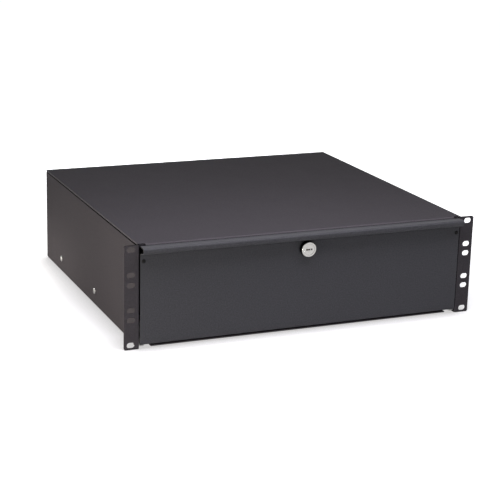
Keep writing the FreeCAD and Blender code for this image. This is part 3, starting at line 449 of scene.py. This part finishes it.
def painted_seam_shade(tree, place, left):
    """Painted shade: how much light is left where the coat turns in under the cover, on what faces
    up near the top.
    """
    normal = part_of(tree, add_node(tree, "NewGeometry").outputs["Normal"], "Z")
    turned_in = remap(tree, normal, SEAM_UP, NONE_TO_FULL)
    foot = CAD_BOX[1][2] - SEAM_HEIGHT
    under = remap(tree, part_of(tree, place, "Z"), (foot, foot + SEAM_BLEND), NONE_TO_FULL)
    return remap(tree, maths(tree, "MULTIPLY", turned_in, under), NONE_TO_FULL, (1.0, left))


def powder_coat(name, base, roughness, gloss, grain, edge_radius, wear_and_highlight=1.5, fold_highlight=1.0, under=1.0,
                shade=(0.35, 0.85), ior=1.5):
    """Baked powder coat: fine grains that catch the light, a little thinner and shinier on edges.
    wear_and_highlight says how much lighter its edges are, partly rubbed and partly a painted
    highlight, fold_highlight how much lighter its upward bends are as a painted highlight, under how
    much light the painted shade leaves below the cover, and shade where the painted shade in creases
    is full and where it ends."""
    material, tree, shader, place = new_finish(name, 0.0, Specular_IOR_Level=gloss, IOR=ior)
    grains = noise(tree, place, grain, detail=4.0)
    peel = noise(tree, place, grain * PEEL_GRAINS)
    cloud = noise(tree, place, CLOUD_SIZE, detail=3.0)
    handled = noise(tree, place, HANDLED_SIZE, detail=5.0)
    edges = rounded_edges(tree, edge_radius)
    edge_wear_and_highlight = edge_mask(tree, edges)
    # Painted light in the colour: lighter edges (partly rubbed) and upward bends as a painted
    # highlight, and painted shade under the cover and in creases.
    hue = tint(
        tree, opaque(base), spread(tree, grains, GRAIN_SHADE), spread(tree, cloud, CLOUD_SHADE),
        remap(tree, edge_wear_and_highlight, NONE_TO_FULL, (1.0, wear_and_highlight)), painted_fold_highlight(tree, fold_highlight), painted_seam_shade(tree, place, under),
        painted_crevice_shade(tree, shade))
    rubbed = spread(tree, handled, about(roughness, HANDLED_ROUGHNESS))
    smoothed = maths(tree, "MULTIPLY_ADD", edge_wear_and_highlight, WORN_ROUGHNESS, rubbed)
    coarse = raised(tree, peel, PEEL_DEPTH, edges)
    connect(tree, shader, hue, smoothed, raised(tree, grains, GRAIN_DEPTH, coarse))
    return material


def zinc_plate(name, base, roughness, along=EVEN):
    """Bright zinc on rolled steel: fine lines along the strip and a faint cloudy bloom."""
    material, tree, shader, place = new_finish(name, 1.0)
    lines = noise(tree, place, ROLLING_LINES, detail=3.0, stretch=along)
    bloom = noise(tree, place, BLOOM_SIZE, detail=4.0)
    edges = rounded_edges(tree, PLATE_EDGE)
    hue = tint(
        tree, opaque(base), spread(tree, lines, LINES_SHADE), spread(tree, bloom, BLOOM_SHADE))
    clouded = spread(tree, bloom, about(roughness, BLOOM_ROUGHNESS))
    connect(tree, shader, hue, clouded, raised(tree, lines, PLATE_RELIEF, edges))
    return material


def bearing_steel(name, base):
    """Polished balls with the faintest haze."""
    material, tree, shader, place = new_finish(name, 1.0)
    haze = noise(tree, place, HAZE_SIZE, detail=3.0)
    hue = tint(tree, opaque(base), spread(tree, haze, HAZE_SHADE))
    tree.links.new(hue, shader.inputs["Base Color"])
    tree.links.new(spread(tree, haze, HAZE_ROUGHNESS), shader.inputs["Roughness"])
    return material


def turned_nickel(name, base, side, pitch, centre, front):
    """Nickel over a turned face, with rings about the lock's axis, and behind its front rim a
    near-black colour painted in as the dark reflection of the lock's side.
    """
    material, tree, shader, place = new_finish(name, 1.0)
    centred = add_node(tree, "Mapping", Vector=place, Location=-centre)
    rings = add_node(
        tree, "TexWave", {"wave_type": "RINGS", "rings_direction": "Y", "wave_profile": "SIN"},
        Vector=centred.outputs[0], Scale=1.0 / (RINGS_PER_SCALE * pitch),
        Distortion=RING_DISTORTION, Detail=2.0).outputs[1]
    tarnish = noise(tree, place, TARNISH_SIZE, detail=4.0)
    edges = rounded_edges(tree, TURNED_EDGE)
    behind = remap(tree, part_of(tree, place, "Y"), about(front, BRIGHT_RIM), NONE_TO_FULL)
    # The bright face is darker in its hollows by painted shade.
    bright = tint(
        tree, opaque(base), spread(tree, tarnish, TARNISH_SHADE), painted_crevice_shade(tree, NICKEL_HOLLOW_SHADE))
    # Behind the front rim the colour is the painted dark reflection of the side.
    hue = mixed_colour(tree, {}, behind, bright, opaque(side))
    roughness = spread(tree, tarnish, TARNISH_ROUGHNESS)
    connect(tree, shader, hue, roughness, raised(tree, rings, TURNED_RELIEF, edges))
    return material


def moulded_plastic(name, base):
    """Matte moulded plastic with a fine spark-eroded grain."""
    material, tree, shader, place = new_finish(name, 0.0)
    grain = noise(tree, place, PLASTIC_GRAIN, detail=3.0)
    edges = rounded_edges(tree, PLASTIC_EDGE)
    hue = tint(tree, opaque(base), spread(tree, grain, PLASTIC_SHADE))
    roughness = spread(tree, grain, PLASTIC_ROUGHNESS)
    connect(tree, shader, hue, roughness, raised(tree, grain, PLASTIC_RELIEF, edges))
    return material


def dress(names, material):
    """Gives solids of the frame a finish."""
    for name in names:
        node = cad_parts[name]
        if not node.data.materials:
            node.data.materials.append(material)
        for holder in node.material_slots:
            holder.material = material


def centre_of(name):
    """The middle of a node's box."""
    low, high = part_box(name)
    return (low + high) / 2


def boxes_of(name):
    """The lowest and highest corner of each solid of a node."""
    shape = bmesh.new()
    shape.from_mesh(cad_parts[name].data)
    bmesh.ops.remove_doubles(shape, verts=shape.verts, dist=WELD)
    left = set(shape.verts)
    boxes = []
    while left:
        found = [left.pop()]
        for vert in found:
            near = {edge.other_vert(vert) for edge in vert.link_edges} & left
            left -= near
            found.extend(near)
        boxes.append(tuple(
            Vector(pick(vert.co[i] for vert in found) for i in range(3)) for pick in (min, max)))
    shape.free()
    return boxes


def turned(shape, rings, count=TURNED_SIDES):
    """Turns a profile of radii and heights about +Z, closes its start, and gives the last ring."""
    last = None
    for radius, height in rings:
        ring = [
            shape.verts.new((radius * math.cos(turn), radius * math.sin(turn), height))
            for turn in (math.tau * i / count for i in range(count))]
        if last is None:
            shape.faces.new(reversed(ring))
        else:
            for i in range(count):
                shape.faces.new((last[i], last[(i + 1) % count], ring[(i + 1) % count], ring[i]))
        last = ring
    return last


def quarter_arc(first=0):
    """The angles of a quarter turn that is cut into equal parts, from this one on."""
    return [math.pi / 2 * i / CURVE_PARTS for i in range(first, CURVE_PARTS + 1)]


def cross_outline(reach, width, height):
    """The twelve corners of a cross, anticlockwise."""
    half = width / 2
    arm = [Vector((x, y, height)) for x, y in ((half, half), (half, reach), (-half, reach))]
    turns = [Matrix.Rotation(quarter * math.pi / 2, 3, "Z") for quarter in range(4)]
    return [turn @ corner for turn in turns for corner in arm]


def cross_recess(shape, rim, height, reach, width, depth):
    """Closes a head's rim with a flat top and sinks a tapered cross into it."""
    mouth = [shape.verts.new(corner) for corner in cross_outline(reach, width, height)]
    sunk = cross_outline(reach * CROSS_TAPER, width * CROSS_TAPER, height - depth)
    floor = [shape.verts.new(corner) for corner in sunk]
    count = len(mouth)
    edges = [shape.edges.new((mouth[i], mouth[(i + 1) % count])) for i in range(count)]
    edges += [shape.edges.get((rim[i], rim[(i + 1) % len(rim)])) for i in range(len(rim))]
    bmesh.ops.triangle_fill(shape, use_beauty=True, edges=edges, normal=(0.0, 0.0, 1.0))
    for i in range(count):
        shape.faces.new((mouth[i], mouth[(i + 1) % count], floor[(i + 1) % count], floor[i]))
    shape.faces.new(floor)


def screw(head_radius, head_height, shank_radius, shank_length):
    """A pan-head screw with a cross recess, its head above the origin and its shank below."""
    shape = bmesh.new()
    tip = shank_radius * TIP_CHAMFER
    shank = [
        (shank_radius - tip, -shank_length), (shank_radius, tip - shank_length),
        (shank_radius, 0.0)]
    foot = [(head_radius * FOOT_RADIUS, 0.0), (head_radius, head_height * FOOT_HEIGHT)]
    crown = [
        (head_radius * (CROWN_FLAT + (1.0 - CROWN_FLAT) * math.cos(turn)),
         head_height * (CROWN_START + (1.0 - CROWN_START) * math.sin(turn)))
        for turn in quarter_arc()]
    rim = turned(shape, [*shank, *foot, *crown])
    reach, width = head_radius * CROSS_REACH, head_radius * CROSS_WIDTH
    depth = min(head_height * CROSS_DEPTH, RECESS_LIMIT)
    cross_recess(shape, rim, head_height, reach, width, depth)
    return shape


def dome_rivet(head_radius, dome, shank_radius, shank_length, tail_radius, tail_height):
    """A blind rivet, its dome above the origin, the pin's end in a dimple, and its set end below."""
    shape = bmesh.new()
    flange = dome * FLANGE_HEIGHT
    hole = head_radius * DIMPLE_RADIUS
    set_end = [
        (tail_radius * math.sin(turn), -shank_length - tail_height * math.cos(turn))
        for turn in quarter_arc(1)]
    head = [
        (head_radius * math.cos(turn), flange + (dome - flange) * math.sin(turn))
        for turn in (DOME_TURN * i / DOME_PARTS for i in range(DOME_PARTS + 1))]
    dimple = [(hole * across, dome * up) for across, up in DIMPLE]
    shank = [(shank_radius, -shank_length), (shank_radius, 0.0)]
    rim = turned(shape, [*set_end, *shank, (head_radius, 0.0), *head, *dimple])
    shape.faces.new(rim)
    return shape


def bevelled_plate(whole, centre, size):
    """Adds a small plate with softened edges to a whole."""
    matrix = Matrix.Translation(centre) @ Matrix.Diagonal((*size, 1.0))
    made = bmesh.ops.create_cube(whole, size=1.0, matrix=matrix)
    edges = list({edge for vert in made["verts"] for edge in vert.link_edges})
    bmesh.ops.bevel(
        whole, geom=edges, offset=min(size) * PLATE_BEVEL, segments=2, affect="EDGES",
        profile=0.5)


def lay(whole, shape, turn, place):
    """Adds a shape to a whole, turned and moved, and frees the shape."""
    copy = bpy.data.meshes.new("copy")
    shape.to_mesh(copy)
    shape.free()
    copy.transform(Matrix.Translation(place) @ turn)
    whole.from_mesh(copy)
    bpy.data.meshes.remove(copy)


def finished_piece(name, whole, material, body, replaced=()):
    """Makes a named piece with smooth curves and sharp corners, which rides on a body."""
    bmesh.ops.recalc_face_normals(whole, faces=whole.faces)
    for face in whole.faces:
        face.smooth = True
    for edge in whole.edges:
        edge.smooth = edge.calc_face_angle(0.0) < SMOOTH_ANGLE
    mesh = bpy.data.meshes.new(name)
    whole.to_mesh(mesh)
    whole.free()
    mesh.materials.append(material)
    piece = bpy.data.objects.new(name, mesh)
    bpy.context.scene.collection.objects.link(piece)
    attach(piece, body)
    if replaced:
        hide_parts(*replaced)


class RACK_OT_case(bpy.types.Operator):
    """Coats the case: sides with their rack ears, cover, bottom, back and the lock's strike"""
    bl_idname = "rack_drawer.case"
    bl_label = "Coat the Case"

    def execute(self, context):
        coats = context.scene.rack_coats
        coat = (coats.case_colour, coats.case_roughness, coats.case_gloss, coats.case_grain)
        # The panels and the cover get weaker painted shade in creases than the rest.
        dress(PANELS, powder_coat("case_coat", *coat, coats.edge_radius, shade=(0.05, 0.50)))
        # The sides get painted shade where they turn in under the cover.
        dress(SIDE_PANELS, powder_coat("side_coat", *coat, coats.edge_radius, under=0.04, ior=1.15))
        # The cover gets the strongest painted highlight on its edges and upward bends.
        dress(COVER, powder_coat(
            "cover_coat", *coat, coats.cover_edge_radius, wear_and_highlight=2.8, fold_highlight=1.7, shade=(0.05, 0.40)))
        return {"FINISHED"}


class RACK_OT_drawer(bpy.types.Operator):
    """Coats the drawer: its front, its tray and the tray's rear wall"""
    bl_idname = "rack_drawer.drawer"
    bl_label = "Coat the Drawer"

    def execute(self, context):
        coats = context.scene.rack_coats
        coat = (coats.drawer_colour, coats.drawer_roughness, coats.drawer_gloss, coats.drawer_grain)
        # The drawer's edges and its lip's upward bends get a painted highlight, the edges partly
        # rubbed.
        dress(DRAWER, powder_coat("drawer_coat", *coat, coats.edge_radius, wear_and_highlight=2.4, fold_highlight=1.25))
        return {"FINISHED"}


class RACK_OT_slides(bpy.types.Operator):
    """Plates the slides' members and cages, polishes their balls and moulds their end stops"""
    bl_idname = "rack_drawer.slides"
    bl_label = "Finish the Slides"

    def execute(self, context):
        metals = context.scene.rack_metals
        detail = context.scene.rack_fasteners.ball_detail
        zinc = metals.zinc_colour
        dress(MEMBERS, zinc_plate("slide_zinc", zinc, MEMBER_ROUGHNESS, ALONG_THE_STRIP))
        dress(CAGES, zinc_plate("cage_zinc", zinc, CAGE_ROUGHNESS, ALONG_THE_STRIP))
        steel = bearing_steel("ball_steel", metals.ball_colour)
        for name in BALLS:
            whole = bmesh.new()
            for low, high in boxes_of(name):
                bmesh.ops.create_icosphere(
                    whole, subdivisions=detail, radius=(high.z - low.z) / 2,
                    matrix=Matrix.Translation((low + high) / 2))
            piece, cage = name.replace("balls", "bearing_balls"), name.replace("balls", "cage")
            finished_piece(piece, whole, steel, cage, [name])
        dress(STOPS, moulded_plastic("stop_plastic", metals.plastic_colour))
        return {"FINISHED"}


class RACK_OT_screws(bpy.types.Operator):
    """Makes the pan-head screws that hold the slides, with cross recesses"""
    bl_idname = "rack_drawer.screws"
    bl_label = "Make the Slide Screws"

    def execute(self, context):
        fasteners = context.scene.rack_fasteners
        zinc = zinc_plate("screw_zinc", context.scene.rack_metals.screw_colour, SCREW_ROUGHNESS)
        height = fasteners.slide_screw_height
        shank = fasteners.slide_screw_shank / 2
        for place, body in (("case", "housing"), ("tray", "drawer")):
            for side in SIDES:
                name = "%s_screws_%s" % (place, side)
                outward = (-1 if side == "left" else 1) * (1 if place == "case" else -1)
                turn = Matrix.Rotation(outward * math.pi / 2, 4, "Y")
                whole = bmesh.new()
                for low, high in boxes_of(name):
                    seat = (low + high) / 2
                    seat.x = (high.x - height) if outward > 0 else (low.x + height)
                    made = screw((high.z - low.z) / 2, height, shank, high.x - low.x - height)
                    lay(whole, made, turn, seat)
                piece = name.replace("screws", "pan_screws")
                finished_piece(piece, whole, zinc, body, [name])
        return {"FINISHED"}


class RACK_OT_rivets(bpy.types.Operator):
    """Makes the painted blind rivets of the drawer's front"""
    bl_idname = "rack_drawer.rivets"
    bl_label = "Make the Rivets"

    def execute(self, context):
        coats = context.scene.rack_coats
        fasteners = context.scene.rack_fasteners
        coat = (coats.rivet_colour, coats.rivet_roughness, coats.rivet_gloss, coats.case_grain)
        paint = powder_coat("rivet_coat", *coat, coats.edge_radius)
        whole = bmesh.new()
        for low, high in boxes_of("face_rivets"):
            seat = (low + high) / 2
            seat.y = low.y + fasteners.rivet_dome
            tail = fasteners.rivet_tail_height
            rivet = dome_rivet(
                (high.z - low.z) / 2, fasteners.rivet_dome, fasteners.rivet_shank / 2,
                high.y - seat.y - tail, fasteners.rivet_tail / 2, tail)
            lay(whole, rivet, Matrix.Rotation(math.pi / 2, 4, "X"), seat)
        finished_piece("face_dome_rivets", whole, paint, "drawer", ["face_rivets"])
        return {"FINISHED"}


class RACK_OT_lock(bpy.types.Operator):
    """Plates the lock and its nut and cam, screws the cam on and fills the keyway"""
    bl_idname = "rack_drawer.lock"
    bl_label = "Finish the Lock"

    def execute(self, context):
        metals = context.scene.rack_metals
        axis = centre_of("lock_plug")
        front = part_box("lock_body")[0].y
        nickel = turned_nickel(
            "lock_nickel", metals.nickel_colour, metals.painted_dark_reflection_colour, metals.turning_pitch,
            axis, front)
        dress(LOCK_TURNED, nickel)
        plate = zinc_plate("lock_zinc", metals.zinc_colour, CAM_ROUGHNESS)
        dress(LOCK_PLATED, plate)
        self.screw_on_cam(context.scene.rack_fasteners, plate, axis)
        self.fill_keyway(context.scene.rack_lock, metals, nickel, axis)
        return {"FINISHED"}

    def screw_on_cam(self, fasteners, plate, axis):
        """The pan-head screw at the plug's inner end."""
        height, shank = fasteners.cam_screw_height, fasteners.cam_screw_shank / 2
        low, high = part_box("cam_screw")
        seat = Vector((axis.x, high.y - height, axis.z))
        whole = bmesh.new()
        made = screw((high.z - low.z) / 2, height, shank, seat.y - low.y)
        lay(whole, made, Matrix.Rotation(-math.pi / 2, 4, "X"), seat)
        finished_piece("cam_pan_screw", whole, plate, "lock_plug", ["cam_screw"])

    def fill_keyway(self, lock, metals, nickel, axis):
        """Brass wafers across the keyway, and a bright shutter over part of its mouth."""
        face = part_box("lock_plug")[0].y
        half = lock.keyway_width / 2
        across, along = half * WAFER_WIDTH, half * WAFER_LENGTH
        whole = bmesh.new()
        for i in range(lock.wafer_count):
            side = half * (WAFER_STAGGER if i % 2 else -WAFER_STAGGER)
            place = Vector((axis.x + side, face + lock.wafer_depth + i * lock.wafer_pitch, axis.z))
            bevelled_plate(whole, place, Vector((along, lock.wafer_thickness, across)))
        brass = zinc_plate("wafer_brass", metals.brass_colour, BRASS_ROUGHNESS)
        finished_piece("lock_wafers", whole, brass, "lock_plug")
        shutter = bmesh.new()
        place = Vector((axis.x + lock.shutter_place, face + lock.wafer_thickness, axis.z))
        bevelled_plate(shutter, place, Vector((lock.shutter_length, lock.wafer_thickness, across)))
        finished_piece("lock_shutter", shutter, nickel, "lock_plug")


def mixed_shader(tree, factor, first, second):
    """Two shaders mixed by a factor."""
    node = add_node(tree, "MixShader")
    for socket, value in zip(node.inputs, (factor, first, second)):
        tree.links.new(value, socket)
    return node.outputs[0]


def white_to_eyes(tree, seen, lit):
    """A shader that looks like one to the camera and in reflections, and lights like another."""
    path = add_node(tree, "LightPath").outputs
    glossy = maths(tree, "MAXIMUM", path["Is Camera Ray"], path["Is Glossy Ray"])
    looked = maths(tree, "MAXIMUM", glossy, path["Is Transmission Ray"])
    return mixed_shader(tree, looked, lit, seen)


def studio_sky(level):
    """A world that is white to look at and gives an even light."""
    world = bpy.data.worlds.new("studio")
    bpy.context.scene.world = world
    world.use_nodes = True
    tree = world.node_tree
    seen = add_node(tree, "Background", Color=WHITE, Strength=1.0)
    lit = add_node(tree, "Background", Color=WHITE, Strength=level)
    shown = white_to_eyes(tree, seen.outputs[0], lit.outputs[0])
    tree.links.new(shown, tree.nodes["World Output"].inputs["Surface"])


def floor_paint(base, painted_shadow):
    """Paint that is white away from the drawer, with a painted soft shadow at the foot of the case.
    """
    material = bpy.data.materials.new("floor")
    material.use_nodes = True
    tree = material.node_tree
    paper = add_node(tree, "BsdfDiffuse", Color=opaque(base))
    away = add_node(tree, "VectorMath", {"operation": "LENGTH"})
    tree.links.new(add_node(tree, "TexCoord").outputs["Object"], away.inputs[0])
    lift = remap(tree, away.outputs["Value"], FLOOR_LIFT, FLOOR_GLOW, "SMOOTHSTEP")
    glow = add_node(tree, "Emission", Color=WHITE, Strength=lift)
    bright = add_node(tree, "AddShader")
    tree.links.new(paper.outputs[0], bright.inputs[0])
    tree.links.new(glow.outputs[0], bright.inputs[1])
    # A grey glow where the sky is closed in paints the shadow at the case's foot.
    sky = add_node(tree, "AmbientOcclusion", {"samples": 16}, Distance=CONTACT_REACH).outputs["AO"]
    opened = remap(tree, sky, CONTACT_SKY, NONE_TO_FULL)
    shadow = add_node(tree, "Emission", Color=opaque(painted_shadow))
    seen = mixed_shader(tree, opened, shadow.outputs[0], bright.outputs[0])
    shown = white_to_eyes(tree, seen, paper.outputs[0])
    tree.links.new(shown, tree.nodes["Material Output"].inputs["Surface"])
    return material


def studio_floor(size, base, painted_shadow):
    """Lays a wide floor just under the drawer."""
    height = CAD_BOX[0][2] - FLOOR_DROP
    mesh = bpy.data.meshes.new("floor")
    edge = size / 2
    corners = [(x * edge, y * edge, height) for x, y in ((-1, -1), (1, -1), (1, 1), (-1, 1))]
    mesh.from_pydata(corners, [], [(0, 1, 2, 3)])
    floor = bpy.data.objects.new("floor", mesh)
    bpy.context.scene.collection.objects.link(floor)
    mesh.materials.append(floor_paint(base, painted_shadow))


def softbox(name, place, target, size, strength, hue, degrees):
    """A soft lamp at a place, turned to a target, whose light spreads over this many degrees."""
    light = bpy.data.lights.new(name, "AREA")
    light.shape = "RECTANGLE"
    light.size, light.size_y = size
    light.energy = strength
    light.color = hue
    light.spread = math.radians(degrees)
    lamp = bpy.data.objects.new(name, light)
    lamp.location = place
    lamp.visible_camera = False
    lamp.rotation_euler = (Vector(target) - Vector(place)).to_track_quat("-Z", "Y").to_euler()
    bpy.context.scene.collection.objects.link(lamp)


def camera_at(place, yaw, pitch, roll, lens):
    """A camera turned right by yaw from +Y, down by pitch, and rolled."""
    data = bpy.data.cameras.new("camera")
    data.lens = lens
    data.sensor_width = SENSOR_WIDTH
    camera = bpy.data.objects.new("camera", data)
    turn = (Matrix.Rotation(-yaw, 4, "Z") @ Matrix.Rotation(math.pi / 2 - pitch, 4, "X")
            @ Matrix.Rotation(roll, 4, "Z"))
    camera.matrix_world = Matrix.Translation(place) @ turn
    bpy.context.scene.collection.objects.link(camera)
    bpy.context.scene.camera = camera


class RACK_OT_stage(bpy.types.Operator):
    """Lays a pale floor, hangs the soft lamps and stands the camera"""
    bl_idname = "rack_drawer.stage"
    bl_label = "Set the Stage"

    def execute(self, context):
        stage = context.scene.rack_stage
        studio_sky(stage.sky_level)
        studio_floor(stage.floor_size, stage.floor_colour, stage.painted_shadow_colour)
        for name, place, target, size, hue, degrees in LAMPS:
            strength = getattr(stage, name.replace(" ", "_") + "_power")
            softbox(name, place, target, size, strength, hue, degrees)
        camera_at(Vector(CAMERA_PLACE), CAMERA_YAW, CAMERA_PITCH, CAMERA_ROLL, stage.lens)
        context.scene.view_settings.view_transform = "Standard"
        return {"FINISHED"}


OPERATORS = (
    RACK_OT_case, RACK_OT_drawer, RACK_OT_slides, RACK_OT_screws, RACK_OT_rivets, RACK_OT_lock,
    RACK_OT_stage)
SETTINGS = {
    "rack_coats": CoatSettings, "rack_metals": MetalSettings, "rack_fasteners": FastenerSettings,
    "rack_lock": LockSettings, "rack_stage": StageSettings}


class RACK_PT_panel(bpy.types.Panel):
    """The drawer's pieces and their settings"""
    bl_idname = "RACK_PT_panel"
    bl_label = "Rack Drawer"
    bl_space_type = "VIEW_3D"
    bl_region_type = "UI"
    bl_category = "Rack Drawer"

    def draw(self, context):
        for operator in OPERATORS:
            self.layout.operator(operator.bl_idname)
        for name, group in SETTINGS.items():
            for prop in group.__annotations__:
                self.layout.prop(getattr(context.scene, name), prop)


def register():
    for group in SETTINGS.values():
        bpy.utils.register_class(group)
    for name, group in SETTINGS.items():
        setattr(bpy.types.Scene, name, PointerProperty(type=group))
    for cls in (*OPERATORS, RACK_PT_panel):
        bpy.utils.register_class(cls)


def unregister():
    for cls in (RACK_PT_panel, *reversed(OPERATORS)):
        bpy.utils.unregister_class(cls)
    for name, group in SETTINGS.items():
        delattr(bpy.types.Scene, name)
        bpy.utils.unregister_class(group)


def main():
    register()
    bpy.ops.rack_drawer.case()
    bpy.ops.rack_drawer.drawer()
    bpy.ops.rack_drawer.slides()
    bpy.ops.rack_drawer.screws()
    bpy.ops.rack_drawer.rivets()
    bpy.ops.rack_drawer.lock()
    bpy.ops.rack_drawer.stage()


if __name__ == "__main__":
    main()
